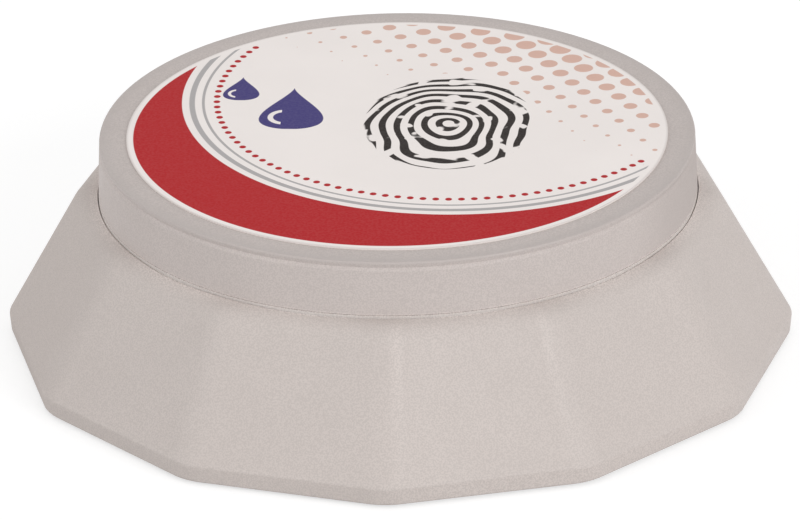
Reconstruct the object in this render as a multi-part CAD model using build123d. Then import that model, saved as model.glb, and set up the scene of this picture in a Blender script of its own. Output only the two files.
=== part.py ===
from build123d import *
import math
import os

# A desk jar of finger-moistening gel: a faceted base shell, a gel cup that snaps into it, and a screw lid.
# Millimetres, +Z up, origin on the table under the middle of the jar. One corner of the base points to -Y.

# Outside of the base
SIDES = 12
RIM_RADIUS = 35.0  # axis to sharp corner, at the widest level
RIM_UNDERCUT = 0.15  # the band at the bottom draws in this much towards the table
RIM_HEIGHT = 1.6
SKIRT_HEIGHT = 13.75  # bottom of the band to the deck
DECK_LEDGE = 1.83  # foot of the lid to the sharp corner where two facets would reach the deck
CORNER_ROUNDING = 5.3
SHOULDER_ROUNDING = 2.2
RIM_EDGE_ROUNDING = 0.35
FOOT_EDGE_ROUNDING = 0.2

# Inside of the base
SKIRT_WALL = 1.6
DECK_THICKNESS = 2.0
COLLAR_WALL = 1.2
RIB_THICKNESS = 1.0
RIB_FOOT_GAP = 2.4  # bottom of the band to the lower edge of the ribs

# Gel cup
NECK_RADIUS = 24.2
CUP_WALL = 1.2
CUP_FLOOR = 1.3
CUP_DRAFT = 0.4  # the cup is this much narrower at its floor than at its neck
CUP_CORNER_ROUNDING = 1.5
LIP_ROUNDING = 0.4
FLANGE_THICKNESS = 1.0
FLANGE_SHOW = 0.25  # height of the flange that stands above the deck
SNAP_BITE = 0.35  # the snap bead reaches this far under the collar
SNAP_HEIGHT = 0.8

# Screw lid
LID_HEIGHT = 4.97
LID_TOP_THICKNESS = 1.1
LID_WALL = 1.15  # at the foot of the lid
LID_DRAFT = 0.2  # the lid is this much narrower at its top than at its foot
LID_EDGE_ROUNDING = 0.15
LID_FOOT_ROUNDING = 0.05
LID_GROOVE_DROP = 0.22  # top of the lid to the fine groove round its side
LID_GROOVE_UPPER = 0.35  # height of the groove's upper slope
LID_GROOVE_LOWER = 0.3  # height of its lower slope
LID_GROOVE_DEPTH = 0.15

# Thread between the neck and the lid
THREAD_STARTS = 3
THREAD_DEPTH = 1.1  # neck to the bore of the lid
THREAD_LEAD = 8.0
RIDGE_ROOT_WIDTH = 1.2
RIDGE_CREST_WIDTH = 0.7
RIDGE_ROOT_DEPTH = 0.25  # how far a ridge reaches into the wall that it stands on
THREAD_END_MARGIN = 0.28  # plain neck left above and below the ridges

# Liner, label, gel and ring
LINER_THICKNESS = 0.6
LABEL_MARGIN = 2.4  # edge of the label to the side of the lid
LABEL_THICKNESS = 0.12
GEL_HEADROOM = 2.9  # lip to gel, which leaves 20 ml in the cup
GEL_DISH = 0.6  # the middle of the gel lies this much lower than its edge
RING_OUTER_RADIUS = 22.0
RING_WIDTH = 4.0
RING_THICKNESS = 1.2
RING_GROOVE = 0.5
RING_EDGE_ROUNDING = 0.3

# Clearances
FOOT_GAP = 0.3  # the ring holds the skirt this far off the table
LID_SEAM = 0.03
COLLAR_CLEARANCE = 0.3
FLANGE_CLEARANCE = 0.1
SNAP_CLEARANCE = 0.1
THREAD_CLEARANCE = 0.25
THREAD_PLAY = 0.2
LINER_CLEARANCE = 0.15
GEL_CLEARANCE = 0.05
RING_CLEARANCE = 0.15

# Levels, from the table up
skirt_foot = FOOT_GAP
rim_level = skirt_foot + RIM_HEIGHT
deck_level = skirt_foot + SKIRT_HEIGHT
flange_top = deck_level + FLANGE_SHOW
flange_foot = flange_top - FLANGE_THICKNESS
lid_foot = flange_top + LID_SEAM
lid_top = lid_foot + LID_HEIGHT
lid_ceiling = lid_top - LID_TOP_THICKNESS
lip_level = lid_ceiling - LINER_THICKNESS
cup_foot = RING_THICKNESS - RING_GROOVE
cup_floor_level = cup_foot + CUP_FLOOR
snap_top = cup_foot + SNAP_HEIGHT
collar_foot = snap_top + SNAP_CLEARANCE
gel_level = lip_level - GEL_HEADROOM

# Radii that follow from the ones above
half_corner = math.pi / SIDES
mouth_radius = NECK_RADIUS - CUP_WALL
floor_radius = mouth_radius - CUP_DRAFT
cup_foot_radius = NECK_RADIUS - CUP_DRAFT
collar_radius = NECK_RADIUS + COLLAR_CLEARANCE
ring_inner_radius = RING_OUTER_RADIUS - RING_WIDTH
lid_bore_radius = NECK_RADIUS + THREAD_DEPTH
lid_foot_radius = lid_bore_radius + LID_WALL
lid_top_radius = lid_foot_radius - LID_DRAFT
label_radius = lid_top_radius - LABEL_MARGIN
deck_radius = lid_foot_radius + DECK_LEDGE


def rounded_outline(radius, corner_rounding, level):
    """Regular outline of the base with rounded corners, at one level."""
    outline = RegularPolygon(radius, SIDES)
    return Pos(0, 0, level) * fillet(outline.vertices(), corner_rounding)


def turned(points, roundings=()):
    """Solid of revolution from radius and height pairs. Each rounding is a corner and its radius."""
    profile = make_face(Polyline(*points, close=True))
    for corner, radius in roundings:
        nearest = profile.vertices().sort_by_distance((corner[0], corner[1], 0))[0]
        profile = fillet(nearest, radius)
    return revolve(Plane.XZ * profile, Axis.Z)


def tube(outer_radius, inner_radius, foot, top):
    """Plain ring between two radii and two levels."""
    return turned([(inner_radius, foot), (outer_radius, foot), (outer_radius, top), (inner_radius, top)])


def skirt_radius(level):
    """Axis to sharp corner of the facets at one level."""
    share = (level - rim_level) / (deck_level - rim_level)
    return RIM_RADIUS + (deck_radius - RIM_RADIUS) * share


def lid_side_radius(level):
    """Radius of the lid's drafted side at one level."""
    return lid_foot_radius - LID_DRAFT * (level - lid_foot) / LID_HEIGHT


def thread_ridges(root_radius, crest_radius, first_angle):
    """Helical ridges of one side of the thread, evenly spaced around the axis."""
    foot = flange_top + THREAD_END_MARGIN + RIDGE_ROOT_WIDTH / 2
    rise = lip_level - THREAD_END_MARGIN - RIDGE_ROOT_WIDTH / 2 - foot
    inward = math.copysign(1, crest_radius - root_radius)
    height = abs(crest_radius - root_radius)
    path = Pos(0, 0, foot) * Helix(THREAD_LEAD, rise, root_radius)
    section_plane = Plane(path @ 0, x_dir=(inward, 0, 0), z_dir=path % 0)
    root = RIDGE_ROOT_WIDTH / 2
    crest = RIDGE_CREST_WIDTH / 2
    corners = [
        (-RIDGE_ROOT_DEPTH, -root),
        (0, -root),
        (height, -crest),
        (height, crest),
        (0, root),
        (-RIDGE_ROOT_DEPTH, root),
    ]
    ridge = sweep(section_plane * make_face(Polyline(*corners, close=True)), path, is_frenet=True)
    return [Rot(0, 0, first_angle + 360 / THREAD_STARTS * start) * ridge for start in range(THREAD_STARTS)]


def skirt_form(inset, top):
    """Solid of the flared skirt from its foot up to one level, with every facet drawn in by an inset."""
    drawn_in = inset / math.cos(half_corner)
    levels = [
        (RIM_RADIUS - RIM_UNDERCUT, skirt_foot),
        (RIM_RADIUS, rim_level),
        (skirt_radius(top), top),
    ]
    rounding = CORNER_ROUNDING - inset
    outlines = [rounded_outline(radius - drawn_in, rounding, level) for radius, level in levels]
    return loft(outlines, ruled=True)


def make_base_shell():
    """Faceted skirt with its deck, the collar that takes the cup, and a rib behind each corner."""
    outside = skirt_form(0, deck_level)
    outside = fillet(outside.edges().group_by(Axis.Z)[-1], SHOULDER_ROUNDING)
    outside = fillet(outside.edges().filter_by_position(Axis.Z, rim_level, rim_level), RIM_EDGE_ROUNDING)
    outside = fillet(outside.edges().group_by(Axis.Z)[0], FOOT_EDGE_ROUNDING)
    shell = outside - skirt_form(SKIRT_WALL, deck_level - DECK_THICKNESS)
    deck_middle = deck_level - DECK_THICKNESS / 2
    shell += tube(collar_radius + COLLAR_WALL, collar_radius, collar_foot, deck_middle)
    rib_start = collar_radius + COLLAR_WALL / 2
    rib_foot = skirt_foot + RIB_FOOT_GAP
    rib_box = Pos(rib_start, 0, rib_foot) * Box(
        RIM_RADIUS - rib_start,
        RIB_THICKNESS,
        deck_middle - rib_foot,
        align=(Align.MIN, Align.CENTER, Align.MIN),
    )
    rib = rib_box & skirt_form(SKIRT_WALL / 2, deck_middle)
    shell += [Rot(0, 0, 360 / SIDES * side) * rib for side in range(SIDES)]
    cup_hole = extrude(Circle(collar_radius), deck_level)
    flange_seat = extrude(Circle(lid_foot_radius + FLANGE_CLEARANCE), FLANGE_THICKNESS)
    return shell - cup_hole - Pos(0, 0, flange_foot) * flange_seat


def make_gel_cup():
    """Cup with a flange that sits in the deck, a threaded neck above and a snap bead under the collar."""
    lip = (mouth_radius, lip_level)
    lip_outside = (NECK_RADIUS, lip_level)
    floor_corner = (floor_radius, cup_floor_level)
    cup = turned(
        [
            (0, cup_foot),
            (cup_foot_radius, cup_foot),
            (NECK_RADIUS, flange_foot),
            (lid_foot_radius, flange_foot),
            (lid_foot_radius, flange_top),
            (NECK_RADIUS, flange_top),
            lip_outside,
            lip,
            floor_corner,
            (0, cup_floor_level),
        ],
        [(lip, LIP_ROUNDING), (lip_outside, LIP_ROUNDING), (floor_corner, CUP_CORNER_ROUNDING)],
    )
    bead_radius = collar_radius + SNAP_BITE
    cup += turned(
        [
            (floor_radius, cup_foot),
            (cup_foot_radius, cup_foot),
            (bead_radius, snap_top - SNAP_HEIGHT / 2),
            (bead_radius, snap_top),
            (floor_radius, snap_top),
        ]
    )
    groove_outer = RING_OUTER_RADIUS + RING_CLEARANCE
    groove_inner = ring_inner_radius - RING_CLEARANCE
    cup -= tube(groove_outer, groove_inner, cup_foot - RING_GROOVE, cup_foot + RING_GROOVE)
    return cup + thread_ridges(NECK_RADIUS, lid_bore_radius - THREAD_CLEARANCE, 0)


def make_gel_fill():
    """Gel that fills the cup, with a shallow dish worn into the middle."""
    wall_share = (gel_level - cup_floor_level) / (lip_level - cup_floor_level)
    edge_radius = floor_radius + CUP_DRAFT * wall_share - GEL_CLEARANCE
    foot_radius = floor_radius - GEL_CLEARANCE
    foot_corner = (foot_radius, cup_floor_level)
    dish_middle = (0, gel_level - GEL_DISH)
    dish_edge = (edge_radius, gel_level)
    outline = Polyline(dish_middle, (0, cup_floor_level), foot_corner, dish_edge)
    surface = TangentArc(dish_middle, dish_edge, tangent=(1, 0))
    profile = make_face([outline, surface])
    corner = profile.vertices().sort_by_distance((*foot_corner, 0))[0]
    profile = fillet(corner, CUP_CORNER_ROUNDING)
    return revolve(Plane.XZ * profile, Axis.Z)


def make_screw_lid():
    """Low round lid with a drafted side, a fine groove near its top and the inner half of the thread."""
    top_edge = (lid_top_radius, lid_top)
    foot_edge = (lid_foot_radius, lid_foot)
    groove_top = lid_top - LID_GROOVE_DROP
    groove_middle = groove_top - LID_GROOVE_UPPER
    groove_foot = groove_middle - LID_GROOVE_LOWER
    lid = turned(
        [
            (0, lid_ceiling),
            (lid_bore_radius, lid_ceiling),
            (lid_bore_radius, lid_foot),
            foot_edge,
            (lid_side_radius(groove_foot), groove_foot),
            (lid_side_radius(groove_middle) - LID_GROOVE_DEPTH, groove_middle),
            (lid_side_radius(groove_top), groove_top),
            top_edge,
            (0, lid_top),
        ],
        [(top_edge, LID_EDGE_ROUNDING), (foot_edge, LID_FOOT_ROUNDING)],
    )
    drop = (RIDGE_ROOT_WIDTH + RIDGE_CREST_WIDTH) / 2 + THREAD_PLAY
    return lid + thread_ridges(lid_bore_radius, NECK_RADIUS + THREAD_CLEARANCE, 360 * drop / THREAD_LEAD)


def make_lid_liner():
    """Sealing disc between the lip of the cup and the ceiling of the lid."""
    return Pos(0, 0, lip_level) * extrude(Circle(lid_bore_radius - LINER_CLEARANCE), LINER_THICKNESS)


def make_lid_label():
    """Round label on top of the lid."""
    return Pos(0, 0, lid_top) * extrude(Circle(label_radius), LABEL_THICKNESS)


def make_anti_slip_ring():
    """Rubber ring in the groove under the cup, which the jar stands on."""
    outer_foot = (RING_OUTER_RADIUS, 0)
    inner_foot = (ring_inner_radius, 0)
    return turned(
        [inner_foot, outer_foot, (RING_OUTER_RADIUS, RING_THICKNESS), (ring_inner_radius, RING_THICKNESS)],
        [(outer_foot, RING_EDGE_ROUNDING), (inner_foot, RING_EDGE_ROUNDING)],
    )


pieces = {
    "base_shell": make_base_shell(),
    "gel_cup": make_gel_cup(),
    "gel_fill": make_gel_fill(),
    "screw_lid": make_screw_lid(),
    "lid_liner": make_lid_liner(),
    "lid_label": make_lid_label(),
    "anti_slip_ring": make_anti_slip_ring(),
}

os.makedirs("parts", exist_ok=True)
for name, piece in pieces.items():
    export_step(piece, f"parts/{name}.step")
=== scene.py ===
"""Looks of a desk jar of finger-moistening gel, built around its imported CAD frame.

Lengths are in metres, +Z is up and the front is at -Y.
"""
import math
from collections import namedtuple
from functools import cached_property

import bmesh
import bpy
from mathutils import Matrix, Vector


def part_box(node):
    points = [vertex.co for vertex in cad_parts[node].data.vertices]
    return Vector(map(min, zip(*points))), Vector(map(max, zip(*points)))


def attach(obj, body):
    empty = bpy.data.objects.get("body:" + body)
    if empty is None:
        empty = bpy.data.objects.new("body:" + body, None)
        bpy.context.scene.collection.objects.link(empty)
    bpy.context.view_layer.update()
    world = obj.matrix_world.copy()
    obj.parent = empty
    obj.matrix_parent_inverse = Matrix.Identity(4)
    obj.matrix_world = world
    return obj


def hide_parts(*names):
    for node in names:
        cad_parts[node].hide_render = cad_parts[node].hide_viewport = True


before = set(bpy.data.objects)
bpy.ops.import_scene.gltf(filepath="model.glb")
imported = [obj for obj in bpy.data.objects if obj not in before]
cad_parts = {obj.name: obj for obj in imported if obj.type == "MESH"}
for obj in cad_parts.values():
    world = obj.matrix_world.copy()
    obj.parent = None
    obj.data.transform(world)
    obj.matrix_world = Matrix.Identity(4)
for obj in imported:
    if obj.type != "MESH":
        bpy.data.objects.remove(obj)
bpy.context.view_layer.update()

MM = 0.001

# Places taken from the frame
DECK_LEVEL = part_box("base_shell")[1].z
LID_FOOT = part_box("screw_lid")[0].z
LID_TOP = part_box("screw_lid")[1].z
LID_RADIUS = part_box("screw_lid")[1].x
LABEL_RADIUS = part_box("lid_label")[1].x

# Camera, set from the photograph: degrees, and millimetres for the lens and the sensor
CAMERA_AZIMUTH = 2.63
CAMERA_ELEVATION = 25.6
CAMERA_ROLL = -0.955
CAMERA_TARGET = Vector((0.36, -6.36, 10.0)) * MM
CAMERA_DISTANCE = 740 * MM
CAMERA_LENS = 379.0
CAMERA_SENSOR = 36.0

# Light: an even grey surround, a floor and three large soft lamps
AMBIENT = 0.6
LAMP_DISTANCE = 1.1
LAMP_SIZE = 0.7
FLOOR_SIZE = 3.0  # half its width
FLOOR_BOUNCE = 0.65  # grey level for the light that it throws back
FLOOR_SEEN = 0.5  # grey level where it is seen, to which its glow is added
FLOOR_GLOW = 0.62
FLOOR_OPENING = 30 * MM  # radius under the jar that lets light through

# Colours, linear
BASE_COLOUR = (0.598, 0.537, 0.507)
LID_COLOUR = (0.585, 0.523, 0.498)
CUP_COLOUR = (0.645, 0.592, 0.562)
FOAM_COLOUR = (0.82, 0.82, 0.80)
RUBBER_COLOUR = (0.035, 0.035, 0.038)
GEL_COLOUR = (0.86, 0.58, 0.54)
FILM_COLOUR = (0.945, 0.885, 0.856)
RED_INK = (0.465, 0.008, 0.012)
BLUE_INK = (0.053, 0.042, 0.19)
PEACH_INK = (0.72, 0.47, 0.39)
GREY_INK = (0.45, 0.43, 0.43)
CHARCOAL_INK = (0.016, 0.010, 0.008)

# Limits of the noise that soft and firm patches are made from
SOFT_PATCH = (0.3, 0.7)
FIRM_PATCH = (0.35, 0.65)

# Moulded plastic: faint clouds, patches of finer and coarser finish, specks, shallow waves and grain
CLOUD_SIZE = 9 * MM
CLOUD_TONES = (0.985, 1.015)
FINISH_SIZE = 2.5 * MM
PLASTIC_ROUGHNESS = (0.52, 0.6)
SPECK_SIZE = 0.13 * MM
SPECK_LIMITS = (0.34, 0.66)
SPECK_SHARE = 0.6
SPECK_TONE = 0.82
WAVE_SIZE = 6 * MM
WAVE_DEPTH = 0.02 * MM
GRAIN_SIZE = 0.14 * MM
GRAIN_DEPTH = 0.008 * MM
PLASTIC_IOR = 1.5
PLASTIC_SPECULAR = 0.35

# Layers on the base. A pair of limits is where a layer sets in and where it is full.
# Sides go from -1 at the left end, through 0 at the front and back, to 1 at the right end.
RIM_LEVEL = 1.9 * MM  # top of the band along the bottom edge
RIM_LINE = (0.35 * MM, 0.05 * MM)  # distance from that level
RIM_SHARE = 0.25
# Two corners carry a painted highlight: a paler, slightly polished line where light catches their rounding
HIGHLIT_CORNERS = [(math.radians(-88.1), 1.0), (math.radians(-62.0), 0.6)]  # direction, share
CORNER_LINE = (0.9 * MM, 0.1 * MM)  # distance from a corner
CORNER_HEIGHT = (2 * MM, 9 * MM)
CORNER_FOOT_SHARE = 0.3  # what a corner's line starts from at the lower height
# Patches for both the painted highlight on the corners and the wear on the rim
HIGHLIGHT_AND_WEAR_SIZE = 3 * MM
HIGHLIGHT_AND_WEAR_SHARES = (0.6, 1.0)
# The right half of the bottom band is made paler as painted light
BAND_HEIGHT = (RIM_LEVEL + 0.05 * MM, RIM_LEVEL - 0.15 * MM)
BAND_SIDE = (-0.05, 0.2)
# The left end of the base is darkened as painted shade
LEFT_SIDE = (-0.84, -0.93)
DECK_HEIGHT = (DECK_LEVEL - 1.0 * MM, DECK_LEVEL - 0.8 * MM)
DECK_SIDE = (0.2, 0.6)  # towards either end
SEAT_REACH = 1.3 * MM  # width of the painted light on the deck beside the lid, which lifts the shade there
GAP_REACH = 0.2 * MM  # width of the painted light along the seam

# Layers on the lid and on the cup, with limits of the same kind
LID_EDGE = (1.8 * MM, 0.2 * MM)  # distance from the side of the lid
LID_EDGE_HEIGHT = (LID_TOP - 0.3 * MM, LID_TOP - 0.1 * MM)
# Patches of the painted shade on the lid's top edge
EDGE_SHADE_SIZE = 4 * MM
EDGE_SHADE_SHARES = (0.8, 1.0)
# The right end of the lid's side is darkened as painted shade
LID_SIDE = (LID_RADIUS - 1.1 * MM, LID_RADIUS - 0.9 * MM)
LID_SIDE_HEIGHT = (LID_TOP, LID_TOP - 0.15 * MM)
RIGHT_SIDE = (0.78, 0.94)
# The lid's lower edge is made paler as painted light along the seam
LID_FOOT_HEIGHT = (LID_FOOT + 0.2 * MM, LID_FOOT)
# Faces of the flange in the seam are made paler as painted light
FLANGE_FACE = (0.06 * MM, 0.045 * MM)  # distance from the level of the lid's foot
FLANGE_UNDER_LID = (LID_RADIUS - 1.2 * MM, LID_RADIUS - 1.0 * MM)
FLANGE_BELOW_DECK = (DECK_LEVEL - 0.02 * MM, DECK_LEVEL - 0.06 * MM)
FLANGE_RIM = (LID_RADIUS - 0.1 * MM, LID_RADIUS - 0.05 * MM)

# Rubber, dusty in patches
DUST_SIZE = 1.2 * MM
DUST_LIMITS = (0.5, 0.8)
DUST_TONE = 2.6
RUBBER_ROUGHNESS = (0.62, 0.85)  # clean, dusty
RUBBER_GRAIN_SIZE = 0.18 * MM
RUBBER_GRAIN_DEPTH = 0.02 * MM

# Foam of the liner, faintly stained
CELL_SIZE = 0.28 * MM
CELL_WALL = (0.12, 0.0)  # distance from the edge of a cell, as a share of its size
CELL_DEPTH = 0.015 * MM
# The hollows of the cells are darker by this tone, as painted shade
CELL_TONE = 0.93
STAIN_SIZE = 7 * MM
STAIN_LIMITS = (0.45, 0.75)
STAIN_SHARE = 0.4
STAIN_TONE = 0.86
FOAM_ROUGHNESS = (0.7, 0.5)  # clean, stained

# Form of the liner: a disc that the lip of the cup has marked
LIP_RADIUS = 23.6 * MM
LIP_MARK_WIDTH = 1.6 * MM
LIP_MARK_DEPTH = 0.08 * MM
LIP_MARK_STEPS = 8
LINER_EDGE = 0.12 * MM

# Substance of the gel: wet and slightly cloudy
GEL_CLOUD_SIZE = 6 * MM
GEL_CLOUD_TONE = 1.14
SMEAR_SIZE = 1.8 * MM
SMEAR_DEPTH = 0.06 * MM
WET_SIZE = 2.2 * MM
GEL_ROUGHNESS = (0.08, 0.2)
GEL_IOR = 1.45
GEL_COAT = 0.6
GEL_COAT_ROUGHNESS = 0.06
GEL_SCATTER = 0.5
GEL_SCATTER_REACH = (2.4, 1.1, 0.9)  # red, green and blue, in millimetres

# Form of the gel: a dished surface with the marks of two fingertips and of stirring
SEGMENTS = 144
SHARP_ANGLE = math.radians(50)
GEL_RINGS = 44
GEL_CORNER = 1.5 * MM
GEL_CORNER_STEPS = 6
GEL_DRAFT = 0.35 * MM  # how far the side leans in towards the bottom
GEL_DISH = 0.5 * MM
MENISCUS_HEIGHT = 0.3 * MM
MENISCUS_REACH = 0.8 * MM
STIR_DEPTH = 0.12 * MM
STIR_ARMS = 3
STIR_PITCH = 2.6 * MM
DAB_DEPTH = 0.8 * MM
DAB_SIZE = 4.2 * MM
DAB_PLACES = [(6.5 * MM, -5.0 * MM), (-7.5 * MM, 3.5 * MM)]

# Film of the label
FILM_CLOUD_SIZE = 11 * MM
FILM_TONES = (0.98, 1.01)
FILM_GRAIN_SIZE = 0.5 * MM
FILM_GRAIN_DEPTH = 0.004 * MM
INK_DEPTH = 0.004 * MM
INK_COVER_SIZE = 0.22 * MM
INK_COVER = (0.98, 1.0)
LABEL_ROUGHNESS = (0.5, 0.42)  # bare, inked
LABEL_SPECULAR = 0.06
GRIME_REACH = 0.25 * MM
GRIME_SHARE = 0.35
GRIME_TONE = 0.7

# Print of the label
PRINT_EDGE = 0.04 * MM  # softness of every printed edge
PRINT_RADIUS = LABEL_RADIUS - 0.6 * MM
CRESCENT_MIDDLE = (5.0 * MM, 7.5 * MM)
CRESCENT_RADIUS = 24.4 * MM
STRIPES = [(0.9 * MM, 0.5 * MM), (1.9 * MM, 0.25 * MM)]  # distance from the crescent, width
BEAD_RADIUS = 0.3 * MM
BEAD_GAP = 3.1 * MM  # distance of the row of beads from the crescent
BEAD_STEP = math.radians(3.0)
DOT_PITCH = 2.3 * MM
DOT_RADIUS = 1.0 * MM
DOT_TURN = math.radians(28)
DOT_DIRECTION = math.radians(52)
DOT_GROWTH = (7.0 * MM, 23.0 * MM)  # distances in that direction where the dots start and are full
WHORL_MIDDLE = (4.5 * MM, 2.0 * MM)
WHORL_HALF_WIDTH = 7.6 * MM
WHORL_HALF_HEIGHT = 9.8 * MM
WHORL_EDGE = (1.0, 0.985)  # shares of its size
WHORL_CLEAR = (1.08, 1.09)  # shares of its size where the halftone dots set in
WHORL_PITCH = 1.15 * MM
WHORL_STRETCH = 0.55  # towards the front the ridges follow each other at this share of their rate
WHORL_STRETCH_PLACE = (-2.5 * MM, 2.5 * MM)  # distances behind the middle between which the rate changes
WHORL_WOBBLE = 3.2 * MM
WHORL_WOBBLE_SIZE = 7 * MM
RIDGE_WAVE = (-0.05, 0.2)  # heights of the wave at the edge of a ridge
RIDGE_NOTCH = 0.02  # how much sooner a ridge ends along its crest, as a share of the whorl's size
BREAK_SIZE = 1.9 * MM
BREAK_LIMITS = (0.36, 0.40)
DROPS = [((-9.5 * MM, 5.0 * MM), 4.4 * MM), ((-14.2 * MM, 9.2 * MM), 2.5 * MM)]  # middle, half length
DROP_SLENDERNESS = 0.5
DROP_TAPER = 3.0  # power of the taper towards the tip
DROP_ENDS = (1.0, 0.98)  # shares of the half length

# Glint in a drop, in shares of the drop's half length
GLINT_OFFSET = (-0.12, -0.42)
GLINT_RADIUS = 0.3
GLINT_HALF_WIDTH = 0.055
GLINT_END = -0.2

# A layer on the plastic: a function for its share at each place, the tone that it gives the colour,
# and how much it polishes the surface, negative where it dulls it
Layer = namedtuple("Layer", "share tone polish", defaults=[0.0])


class Field:
    """A value that varies over a surface. Arithmetic with it adds math nodes to its tree."""

    def __init__(self, nodes, socket):
        self.nodes = nodes
        self.socket = socket

    def __add__(self, other):
        return self.nodes.math("ADD", self, other)

    def __sub__(self, other):
        return self.nodes.math("SUBTRACT", self, other)

    def __rsub__(self, other):
        return self.nodes.math("SUBTRACT", other, self)

    def __mul__(self, other):
        return self.nodes.math("MULTIPLY", self, other)

    def __truediv__(self, other):
        return self.nodes.math("DIVIDE", self, other)

    def __lt__(self, other):
        return self.nodes.math("LESS_THAN", self, other)

    def __abs__(self):
        return self.nodes.math("ABSOLUTE", self)


class Nodes:
    """A tree of shader nodes, with short calls that add a node and give back its output as a field."""

    def __init__(self, tree):
        self.tree = tree

    def put(self, socket, value):
        """Links a field to an input, or sets the input to a constant."""
        if isinstance(value, Field):
            self.tree.links.new(value.socket, socket)
        else:
            socket.default_value = value

    def node(self, kind, inputs, output=0, **settings):
        made = self.tree.nodes.new(kind)
        for name, value in settings.items():
            setattr(made, name, value)
        for key, value in inputs.items():
            self.put(made.inputs[key], value)
        return Field(self, made.outputs[output])

    def math(self, operation, *values):
        return self.node("ShaderNodeMath", dict(enumerate(values)), operation=operation)

    def largest(self, value, *others):
        for other in others:
            value = self.math("MAXIMUM", value, other)
        return value

    def length(self, across, along):
        return self.math("SQRT", across * across + along * along)

    def ramp(self, value, limits, span=(0.0, 1.0), shape="SMOOTHSTEP"):
        """Goes through a span of numbers as the value goes from the first limit to the second."""
        inputs = {"Value": value, "From Min": limits[0], "From Max": limits[1]}
        inputs |= {"To Min": span[0], "To Max": span[1]}
        return self.node("ShaderNodeMapRange", inputs, interpolation_type=shape)


class Surface(Nodes):
    """Node material of one surface, with the places on it in the frame of the jar."""

    def __init__(self, name):
        self.material = bpy.data.materials.new(name)
        self.material.use_nodes = True
        super().__init__(self.material.node_tree)
        self.place = self.node("ShaderNodeTexCoord", {}, output="Object")

    @cached_property
    def across(self):
        return self.node("ShaderNodeSeparateXYZ", {0: self.place}, output="X")

    @cached_property
    def along(self):
        return self.node("ShaderNodeSeparateXYZ", {0: self.place}, output="Y")

    @cached_property
    def height(self):
        return self.node("ShaderNodeSeparateXYZ", {0: self.place}, output="Z")

    @cached_property
    def radius(self):
        """Distance from the jar's axis."""
        return self.length(self.across, self.along)

    @cached_property
    def sideways(self):
        """From -1 at the left end of the jar, through 0 at the front and back, to 1 at the right end."""
        return self.across / self.radius

    def offset(self, middle):
        """Distances across and along from a point on the label."""
        return self.across - middle[0], self.along - middle[1]

    def towards(self, direction):
        """Distance from the jar's axis in one direction."""
        return self.across * math.cos(direction) + self.along * math.sin(direction)

    def inside(self, distance):
        """Crisp printed area where a signed distance is negative."""
        return self.ramp(distance, (PRINT_EDGE, -PRINT_EDGE))

    def noise(self, size, detail=2.0, roughness=0.5):
        inputs = {"Vector": self.place, "Scale": 1 / size, "Detail": detail, "Roughness": roughness}
        return self.node("ShaderNodeTexNoise", inputs)

    def patches(self, size, detail=2.0, roughness=0.5, limits=SOFT_PATCH, span=(0.0, 1.0)):
        """Soft irregular patches that go through a span of numbers; close limits make them sharper."""
        return self.ramp(self.noise(size, detail, roughness), limits, span)

    def mix(self, share, first, second):
        """Blends two colours; each is three numbers or a field."""
        pair = [colour if isinstance(colour, Field) else (*colour, 1.0) for colour in (first, second)]
        return self.node("ShaderNodeMix", {0: share, 6: pair[0], 7: pair[1]}, output=2, data_type="RGBA")

    def bump(self, height, depth, under=None):
        """Normal of a surface with bumps, which may lie on other bumps."""
        inputs = {"Height": height, "Distance": depth, "Strength": 1.0}
        if under:
            inputs["Normal"] = under
        return self.node("ShaderNodeBump", inputs)

    def shade(self, **values):
        """Sets inputs of the surface shader; an underscore in a name stands for a space."""
        shader = self.tree.nodes["Principled BSDF"]
        for name, value in values.items():
            self.put(shader.inputs[name.replace("_", " ")], value)


def tint(colour, factor):
    """A paler or deeper colour, as three numbers."""
    return tuple(min(1.0, channel * factor) for channel in colour)


def grey(level):
    """Opaque grey for a colour input."""
    return level, level, level, 1.0


def moulded_plastic(name, colour, *layers):
    """Matte injection-moulded plastic with a fine grain, faint clouds, and layers of wear, painted light
    and painted shade.
    """
    surface = Surface(name)
    deep, pale = [tint(colour, tone) for tone in CLOUD_TONES]
    shown = surface.mix(surface.patches(CLOUD_SIZE, detail=3.0), deep, pale)
    roughness = surface.patches(FINISH_SIZE, span=PLASTIC_ROUGHNESS)
    for layer in layers:
        share = layer.share(surface)
        shown = surface.mix(share, shown, tint(colour, layer.tone))
        if layer.polish:
            roughness = roughness - share * layer.polish
    specks = surface.patches(SPECK_SIZE, detail=0.0, limits=SPECK_LIMITS, span=(SPECK_SHARE, 0.0))
    shown = surface.mix(specks, shown, tint(colour, SPECK_TONE))
    waves = surface.bump(surface.noise(WAVE_SIZE, detail=1.0), WAVE_DEPTH)
    grain = surface.bump(surface.noise(GRAIN_SIZE, detail=1.0), GRAIN_DEPTH, under=waves)
    surface.shade(Base_Color=shown, Roughness=roughness, Normal=grain)
    surface.shade(IOR=PLASTIC_IOR, Specular_IOR_Level=PLASTIC_SPECULAR)
    return surface.material


def corner_highlights_and_rim_wear(surface):
    """Painted highlight along two front corners of the base, and wear along the top of its bottom band, in
    patches.
    """
    turn = surface.math("ARCTAN2", surface.along, surface.across)
    upper = surface.ramp(surface.height, CORNER_HEIGHT, (CORNER_FOOT_SHARE, 1.0))
    edges = surface.ramp(abs(surface.height - RIM_LEVEL), RIM_LINE, (0.0, RIM_SHARE))
    for direction, share in HIGHLIT_CORNERS:
        from_corner = abs(turn - direction) * surface.radius
        line = surface.ramp(from_corner, CORNER_LINE, (0.0, share))
        edges = surface.largest(edges, line * upper)
    return edges * surface.patches(HIGHLIGHT_AND_WEAR_SIZE, detail=4.0, limits=FIRM_PATCH, span=HIGHLIGHT_AND_WEAR_SHARES)


def lit_right_band(surface):
    """Right half of the bottom band of the base, made paler as painted light."""
    return surface.ramp(surface.sideways, BAND_SIDE) * surface.ramp(surface.height, BAND_HEIGHT)


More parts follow.
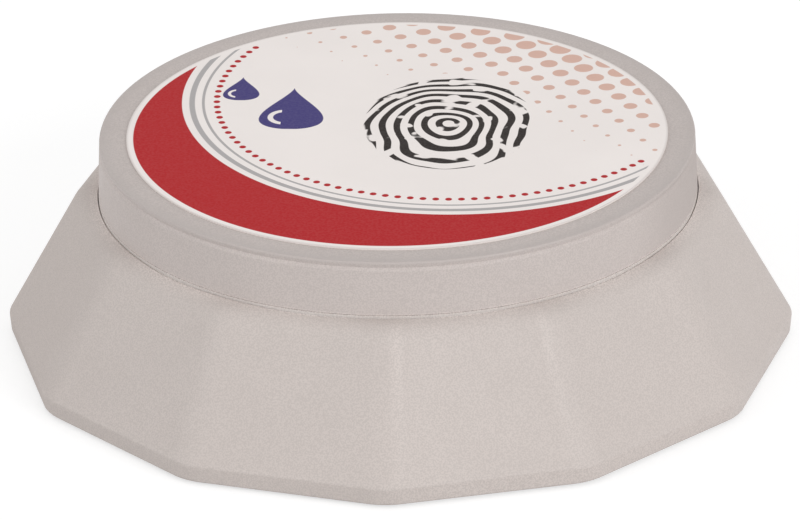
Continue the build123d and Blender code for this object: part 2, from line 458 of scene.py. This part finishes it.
def shaded_left_end(surface):
    """Left end of the base, darkened as painted shade and made rougher."""
    return surface.ramp(surface.sideways, LEFT_SIDE)


def lit_beside_lid(reach, least_share):
    """Makes the function for a ring of painted light on the deck beside the lid, which lifts the shade
    there, faintest at the front and back.
    """

    def share(surface):
        ring = surface.ramp(surface.radius - LID_RADIUS, (reach, 0.0))
        deck = surface.ramp(surface.height, DECK_HEIGHT)
        return ring * deck * surface.ramp(abs(surface.sideways), DECK_SIDE, (least_share, 1.0))

    return share


def shaded_top_edge(surface):
    """Top edge of the lid, darkened in patches as painted shade and slightly polished."""
    edge = surface.ramp(LID_RADIUS - surface.radius, LID_EDGE)
    upper = surface.ramp(surface.height, LID_EDGE_HEIGHT)
    patches = surface.patches(EDGE_SHADE_SIZE, detail=4.0, limits=FIRM_PATCH, span=EDGE_SHADE_SHARES)
    return edge * upper * patches


def shaded_right_end(surface):
    """Right end of the lid's side, darkened as painted shade and made duller."""
    side = surface.ramp(surface.radius, LID_SIDE) * surface.ramp(surface.height, LID_SIDE_HEIGHT)
    return side * surface.ramp(surface.sideways, RIGHT_SIDE)


def lit_lid_foot(surface):
    """Lower edge of the lid, made paler as painted light along the seam."""
    return surface.ramp(surface.height, LID_FOOT_HEIGHT)


def lit_flange_faces(surface):
    """Faces of the cup's flange under the edge of the lid and in the seat of the base, made paler as
    painted light in the seam.
    """
    from_foot = abs(surface.height - LID_FOOT)
    under_lid = surface.ramp(from_foot, FLANGE_FACE) * surface.ramp(surface.radius, FLANGE_UNDER_LID)
    in_seat = surface.ramp(surface.height, FLANGE_BELOW_DECK) * surface.ramp(surface.radius, FLANGE_RIM)
    return surface.largest(under_lid, in_seat)


def rubber():
    """Black rubber with fine ground-in dust."""
    surface = Surface("ring_rubber")
    dust = surface.patches(DUST_SIZE, detail=5.0, roughness=0.7, limits=DUST_LIMITS)
    colour = surface.mix(dust, RUBBER_COLOUR, tint(RUBBER_COLOUR, DUST_TONE))
    roughness = surface.ramp(dust, (0.0, 1.0), RUBBER_ROUGHNESS)
    grain = surface.bump(surface.noise(RUBBER_GRAIN_SIZE, detail=3.0), RUBBER_GRAIN_DEPTH)
    surface.shade(Base_Color=colour, Roughness=roughness, Normal=grain)
    return surface.material


def foam():
    """White foamed sheet with fine closed cells, painted shade in their hollows, and faint stains."""
    surface = Surface("liner_foam")
    inputs = {"Vector": surface.place, "Scale": 1 / CELL_SIZE}
    from_edge = surface.node("ShaderNodeTexVoronoi", inputs, feature="DISTANCE_TO_EDGE")
    wall = surface.ramp(from_edge, CELL_WALL)
    colour = surface.mix(wall, tint(FOAM_COLOUR, CELL_TONE), FOAM_COLOUR)
    stain = surface.patches(STAIN_SIZE, detail=3.0, limits=STAIN_LIMITS, span=(0.0, STAIN_SHARE))
    colour = surface.mix(stain, colour, tint(FOAM_COLOUR, STAIN_TONE))
    roughness = surface.ramp(stain, (0.0, STAIN_SHARE), FOAM_ROUGHNESS)
    surface.shade(Base_Color=colour, Roughness=roughness, Normal=surface.bump(wall, CELL_DEPTH))
    return surface.material


def wet_gel():
    """Wet, slightly cloudy pink gel."""
    surface = Surface("gel")
    cloud = surface.patches(GEL_CLOUD_SIZE, detail=3.0)
    colour = surface.mix(cloud, GEL_COLOUR, tint(GEL_COLOUR, GEL_CLOUD_TONE))
    roughness = surface.patches(WET_SIZE, limits=FIRM_PATCH, span=GEL_ROUGHNESS)
    smear = surface.bump(surface.noise(SMEAR_SIZE, detail=3.0), SMEAR_DEPTH)
    surface.shade(Base_Color=colour, Roughness=roughness, Normal=smear)
    surface.shade(IOR=GEL_IOR, Coat_Weight=GEL_COAT, Coat_Roughness=GEL_COAT_ROUGHNESS)
    surface.shade(Subsurface_Weight=GEL_SCATTER, Subsurface_Radius=GEL_SCATTER_REACH, Subsurface_Scale=MM)
    return surface.material


def from_crescent(surface):
    """Distance inwards from the crescent, negative on the crescent itself."""
    return CRESCENT_RADIUS - surface.length(*surface.offset(CRESCENT_MIDDLE))


def print_crescent(surface):
    """Crescent between the edge of the print and an off-centre circle."""
    return surface.inside(from_crescent(surface))


def print_stripes(surface):
    """Stripes along the inner edge of the crescent."""
    distance = from_crescent(surface)
    return surface.largest(*[surface.inside(abs(distance - gap) - width / 2) for gap, width in STRIPES])


def print_beads(surface):
    """A row of small dots along the stripes, those of them that lie whole within the print."""
    side, rise = surface.offset(CRESCENT_MIDDLE)
    circle = CRESCENT_RADIUS - BEAD_GAP
    turn = surface.math("ARCTAN2", rise, side)
    step = surface.math("WRAP", turn, BEAD_STEP / 2, -BEAD_STEP / 2)
    from_bead = surface.length(step * circle, surface.length(side, rise) - circle)
    bead_turn = turn - step
    bead_across = surface.math("COSINE", bead_turn) * circle + CRESCENT_MIDDLE[0]
    bead_along = surface.math("SINE", bead_turn) * circle + CRESCENT_MIDDLE[1]
    whole = surface.length(bead_across, bead_along) < PRINT_RADIUS - 2 * BEAD_RADIUS
    return surface.inside(from_bead - BEAD_RADIUS) * whole


def print_dots(surface):
    """Halftone dots that grow towards one side of the label."""
    axes = [surface.towards(DOT_TURN), surface.towards(DOT_TURN + math.pi / 2)]
    cell = [surface.math("WRAP", axis, DOT_PITCH / 2, -DOT_PITCH / 2) for axis in axes]
    side = surface.towards(DOT_DIRECTION)
    grown = surface.ramp(side, DOT_GROWTH, (-PRINT_EDGE, DOT_RADIUS), shape="LINEAR")
    return surface.inside(surface.length(*cell) - grown)


def from_whorl(surface):
    """Distance from the whorl's middle as a share of its size, 1 all along its oval edge."""
    side, rise = surface.offset(WHORL_MIDDLE)
    return surface.length(side / WHORL_HALF_WIDTH, rise / WHORL_HALF_HEIGHT)


def print_whorl(surface):
    """Broken concentric ridges in an oval, as a fingertip leaves them."""
    side, rise = surface.offset(WHORL_MIDDLE)
    stretch = surface.ramp(rise, WHORL_STRETCH_PLACE, (WHORL_STRETCH, 1.0))
    wobble = surface.noise(WHORL_WOBBLE_SIZE, detail=1.0) * WHORL_WOBBLE
    distance = surface.length(side, rise * stretch) + wobble
    wave = surface.math("SINE", distance * (2 * math.pi / WHORL_PITCH))
    breaks = surface.patches(BREAK_SIZE, detail=1.0, limits=BREAK_LIMITS)
    within = surface.ramp(from_whorl(surface) + wave * RIDGE_NOTCH, WHORL_EDGE)
    return surface.ramp(wave, RIDGE_WAVE) * breaks * within


def print_drop(surface, middle, half_length):
    """A drop with its tip away from the front."""
    side, rise = surface.offset(middle)
    share = rise / half_length
    taper = surface.math("POWER", surface.largest(1.0 - share, 0.0), DROP_TAPER)
    width = surface.math("SQRT", surface.largest(taper * (share + 1.0), 0.0))
    drop = surface.inside(abs(side) - width * (DROP_SLENDERNESS * half_length))
    return drop * surface.ramp(abs(share), DROP_ENDS)


def print_glint(surface, middle, half_length):
    """An arc of light in the left of a drop."""
    arc_middle = [place + share * half_length for place, share in zip(middle, GLINT_OFFSET)]
    distance = surface.length(*surface.offset(arc_middle))
    from_arc = abs(distance - GLINT_RADIUS * half_length)
    left = surface.across < middle[0] + GLINT_END * half_length
    return surface.inside(from_arc - GLINT_HALF_WIDTH * half_length) * left


def label_film():
    """Satin film with a print of crescent, stripes, beads, halftone dots, fingertip whorl and drops."""
    surface = Surface("label_film")
    prints = [
        (print_dots(surface) * surface.ramp(from_whorl(surface), WHORL_CLEAR), PEACH_INK),
        (print_stripes(surface), GREY_INK),
        (print_crescent(surface), RED_INK),
        (print_whorl(surface), CHARCOAL_INK),
        (print_beads(surface), RED_INK),
    ]
    for drop in DROPS:
        prints.append((print_drop(surface, *drop), BLUE_INK))
        prints.append((print_glint(surface, *drop), FILM_COLOUR))
    deep, pale = [tint(FILM_COLOUR, tone) for tone in FILM_TONES]
    colour = surface.mix(surface.patches(FILM_CLOUD_SIZE, detail=3.0), deep, pale)
    cover = surface.patches(INK_COVER_SIZE, detail=1.0, span=INK_COVER)
    printed = surface.inside(surface.radius - PRINT_RADIUS)
    for mask, ink in prints:
        colour = surface.mix(mask * printed * cover, colour, ink)
    inked = surface.largest(*[mask for mask, ink in prints]) * printed
    grime = surface.ramp(surface.radius, (LABEL_RADIUS - GRIME_REACH, LABEL_RADIUS), (0.0, GRIME_SHARE))
    colour = surface.mix(grime, colour, tint(BASE_COLOUR, GRIME_TONE))
    film = surface.bump(surface.noise(FILM_GRAIN_SIZE), FILM_GRAIN_DEPTH)
    ink_edge = surface.bump(inked, INK_DEPTH, under=film)
    roughness = surface.ramp(inked, (0.0, 1.0), LABEL_ROUGHNESS)
    surface.shade(Base_Color=colour, Roughness=roughness, Normal=ink_edge)
    surface.shade(Specular_IOR_Level=LABEL_SPECULAR)
    return surface.material


def seen_directly(nodes):
    """1 for a ray from the camera, from a mirror reflection or through a clear surface, 0 for lighting."""
    kinds = ("Is Camera Ray", "Is Glossy Ray", "Is Transmission Ray")
    return nodes.largest(*[nodes.node("ShaderNodeLightPath", {}, output=kind) for kind in kinds])


def floor_white():
    """Grey that is white where it is seen and keeps the shadow.

    It is clear from below and under the jar, so that light reaches the underside.
    """
    surface = Surface("floor")
    dull = surface.node("ShaderNodeBsdfDiffuse", {"Color": grey(FLOOR_BOUNCE)})
    lit = surface.node("ShaderNodeBsdfDiffuse", {"Color": grey(FLOOR_SEEN)})
    glow = surface.node("ShaderNodeEmission", {"Color": grey(1.0), "Strength": FLOOR_GLOW})
    pale = surface.node("ShaderNodeAddShader", {0: lit, 1: glow})
    above = surface.node("ShaderNodeMixShader", {0: seen_directly(surface), 1: dull, 2: pale})
    clear = surface.node("ShaderNodeBsdfTransparent", {"Color": grey(1.0)})
    below = surface.node("ShaderNodeNewGeometry", {}, output="Backfacing")
    opened = surface.largest(below, surface.radius < FLOOR_OPENING)
    both = surface.node("ShaderNodeMixShader", {0: opened, 1: above, 2: clear})
    surface.put(surface.tree.nodes["Material Output"].inputs["Surface"], both)
    return surface.material


def add_object(name, data):
    """New object in the scene."""
    made = bpy.data.objects.new(name, data)
    bpy.context.scene.collection.objects.link(made)
    return made


def finished_mesh(name, builder, material):
    """Mesh of what a builder holds, in one material."""
    mesh = bpy.data.meshes.new(name)
    builder.to_mesh(mesh)
    builder.free()
    mesh.materials.append(material)
    return mesh


def ring_object(name, rings, material):
    """Closed smooth object from rings of radius and height; radius 0 is one point.

    A height may be a function of the angle.
    """
    builder = bmesh.new()
    loops = []
    for radius, height in rings:
        count = SEGMENTS if radius > 0 else 1
        loop = []
        for step in range(count):
            angle = 2 * math.pi * step / SEGMENTS
            level = height(angle) if callable(height) else height
            loop.append(builder.verts.new((radius * math.cos(angle), radius * math.sin(angle), level)))
        loops.append(loop)
    for lower, upper in zip(loops, loops[1:]):
        for step in range(SEGMENTS):
            following = (step + 1) % SEGMENTS
            corners = [lower[step % len(lower)], lower[following % len(lower)]]
            corners += [upper[following % len(upper)], upper[step % len(upper)]]
            builder.faces.new(dict.fromkeys(corners))
    bmesh.ops.recalc_face_normals(builder, faces=builder.faces)
    mesh = finished_mesh(name, builder, material)
    mesh.shade_smooth()
    mesh.set_sharp_from_angle(angle=SHARP_ANGLE)
    return add_object(name, mesh)


def gel_level(radius, edge, top):
    """Height of the gel's surface at one radius, as a function of the angle."""
    share = radius / edge
    meniscus = MENISCUS_HEIGHT * (1 - math.exp((radius - edge) / MENISCUS_REACH))
    dish = GEL_DISH * (1 - share * share)
    stirred = 4 * share * (1 - share)  # 0 in the middle and at the edge, 1 halfway

    def level(angle):
        spot = (radius * math.cos(angle), radius * math.sin(angle))
        dabs = [math.exp(-(math.dist(spot, place) / DAB_SIZE) ** 2) for place in DAB_PLACES]
        stir = math.sin(STIR_ARMS * angle + radius / STIR_PITCH)
        return top - meniscus - dish - DAB_DEPTH * sum(dabs) - STIR_DEPTH * stirred * (1 + stir)

    return level


def make_gel():
    """Gel in the cup, in place of its plain solid."""
    low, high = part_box("gel_fill")
    edge = high.x
    rings = [(0.0, low.z), (edge - 2 * GEL_CORNER, low.z)]
    for step in range(GEL_CORNER_STEPS + 1):
        turn = math.pi / 2 * step / GEL_CORNER_STEPS
        inset = GEL_CORNER * (1 - math.sin(turn)) + GEL_DRAFT
        rings.append((edge - inset, low.z + GEL_CORNER * (1 - math.cos(turn))))
    for step in range(GEL_RINGS, 0, -1):
        radius = edge * math.sin(math.pi / 2 * step / GEL_RINGS)
        rings.append((radius, gel_level(radius, edge, high.z)))
    rings.append((0.0, gel_level(0.0, edge, high.z)))
    gel = ring_object("gel_pool", rings, wet_gel())
    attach(gel, "jar")
    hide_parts("gel_fill")


def make_liner():
    """Foam disc with bevelled edges and the ring that the lip has pressed into it."""
    low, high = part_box("lid_liner")
    edge = high.x
    rings = [(0.0, low.z)]
    for step in range(LIP_MARK_STEPS + 1):
        share = step / LIP_MARK_STEPS - 0.5
        depth = LIP_MARK_DEPTH * math.cos(math.pi * share) ** 2
        rings.append((LIP_RADIUS + LIP_MARK_WIDTH * share, low.z + depth))
    rings += [
        (edge - LINER_EDGE, low.z),
        (edge, low.z + LINER_EDGE),
        (edge, high.z - LINER_EDGE),
        (edge - LINER_EDGE, high.z),
        (0.0, high.z),
    ]
    liner = ring_object("liner_disc", rings, foam())
    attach(liner, "liner")
    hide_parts("lid_liner")


def assign(node, material):
    """Gives a CAD node its material."""
    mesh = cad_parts[node].data
    mesh.materials.clear()
    mesh.materials.append(material)


def looking_at(target, azimuth, elevation, distance):
    """Placement that faces a target from angles in degrees; azimuth 0 is the front."""
    turn = math.radians(azimuth)
    rise = math.radians(elevation)
    back = Vector((math.sin(turn) * math.cos(rise), -math.cos(turn) * math.cos(rise), math.sin(rise)))
    facing = (-back).to_track_quat("-Z", "Y").to_matrix().to_4x4()
    return Matrix.Translation(target + back * distance) @ facing


def make_camera():
    """Camera at the photograph's viewing angle."""
    data = bpy.data.cameras.new("camera")
    data.lens = CAMERA_LENS
    data.sensor_width = CAMERA_SENSOR
    data.sensor_fit = "HORIZONTAL"
    camera = add_object("camera", data)
    place = looking_at(CAMERA_TARGET, CAMERA_AZIMUTH, CAMERA_ELEVATION, CAMERA_DISTANCE)
    camera.matrix_world = place @ Matrix.Rotation(math.radians(CAMERA_ROLL), 4, "Z")
    bpy.context.scene.camera = camera


def make_lamp(name, azimuth, elevation, power, mirrored=True):
    """Large square soft lamp that faces the jar; glossy surfaces mirror it or not."""
    data = bpy.data.lights.new(name, "AREA")
    data.size = LAMP_SIZE
    data.energy = power
    lamp = add_object(name, data)
    lamp.matrix_world = looking_at(Vector(), azimuth, elevation, LAMP_DISTANCE)
    lamp.visible_glossy = mirrored


def make_world():
    """Even grey light all round, which is white where it is seen directly or reflected."""
    world = bpy.data.worlds.new("surround")
    bpy.context.scene.world = world
    world.use_nodes = True
    nodes = Nodes(world.node_tree)
    background = world.node_tree.nodes["Background"]
    nodes.put(background.inputs["Color"], grey(1.0))
    nodes.put(background.inputs["Strength"], nodes.ramp(seen_directly(nodes), (0.0, 1.0), (AMBIENT, 1.0)))


def make_floor():
    """Floor that the jar stands on, which is no part of it."""
    builder = bmesh.new()
    bmesh.ops.create_grid(builder, x_segments=1, y_segments=1, size=FLOOR_SIZE)
    floor = add_object("floor", finished_mesh("floor", builder, floor_white()))


base_layers = [
    Layer(corner_highlights_and_rim_wear, tone=1.06, polish=0.12),
    Layer(lit_right_band, tone=1.065),
    Layer(shaded_left_end, tone=0.985, polish=-0.3),
    # Painted light that lifts the shade on the deck beside the lid and along the seam
    Layer(lit_beside_lid(SEAT_REACH, least_share=0.1), tone=1.2),
    Layer(lit_beside_lid(GAP_REACH, least_share=1.0), tone=1.5),
]
lid_layers = [
    Layer(shaded_top_edge, tone=0.87, polish=0.12),
    Layer(shaded_right_end, tone=0.9, polish=-0.4),
    Layer(lit_lid_foot, tone=1.2),
]
assign("base_shell", moulded_plastic("base_plastic", BASE_COLOUR, *base_layers))
assign("screw_lid", moulded_plastic("lid_plastic", LID_COLOUR, *lid_layers))
assign("gel_cup", moulded_plastic("cup_plastic", CUP_COLOUR, Layer(lit_flange_faces, tone=1.4)))
assign("anti_slip_ring", rubber())
assign("lid_label", label_film())
make_gel()
make_liner()

make_camera()
make_world()
make_floor()
make_lamp("right_lamp", azimuth=45, elevation=20, power=5.8)
make_lamp("left_lamp", azimuth=-65, elevation=20, power=3.3)
make_lamp("back_lamp", azimuth=175, elevation=12, power=2.2, mirrored=False)
bpy.context.scene.view_settings.view_transform = "Standard"
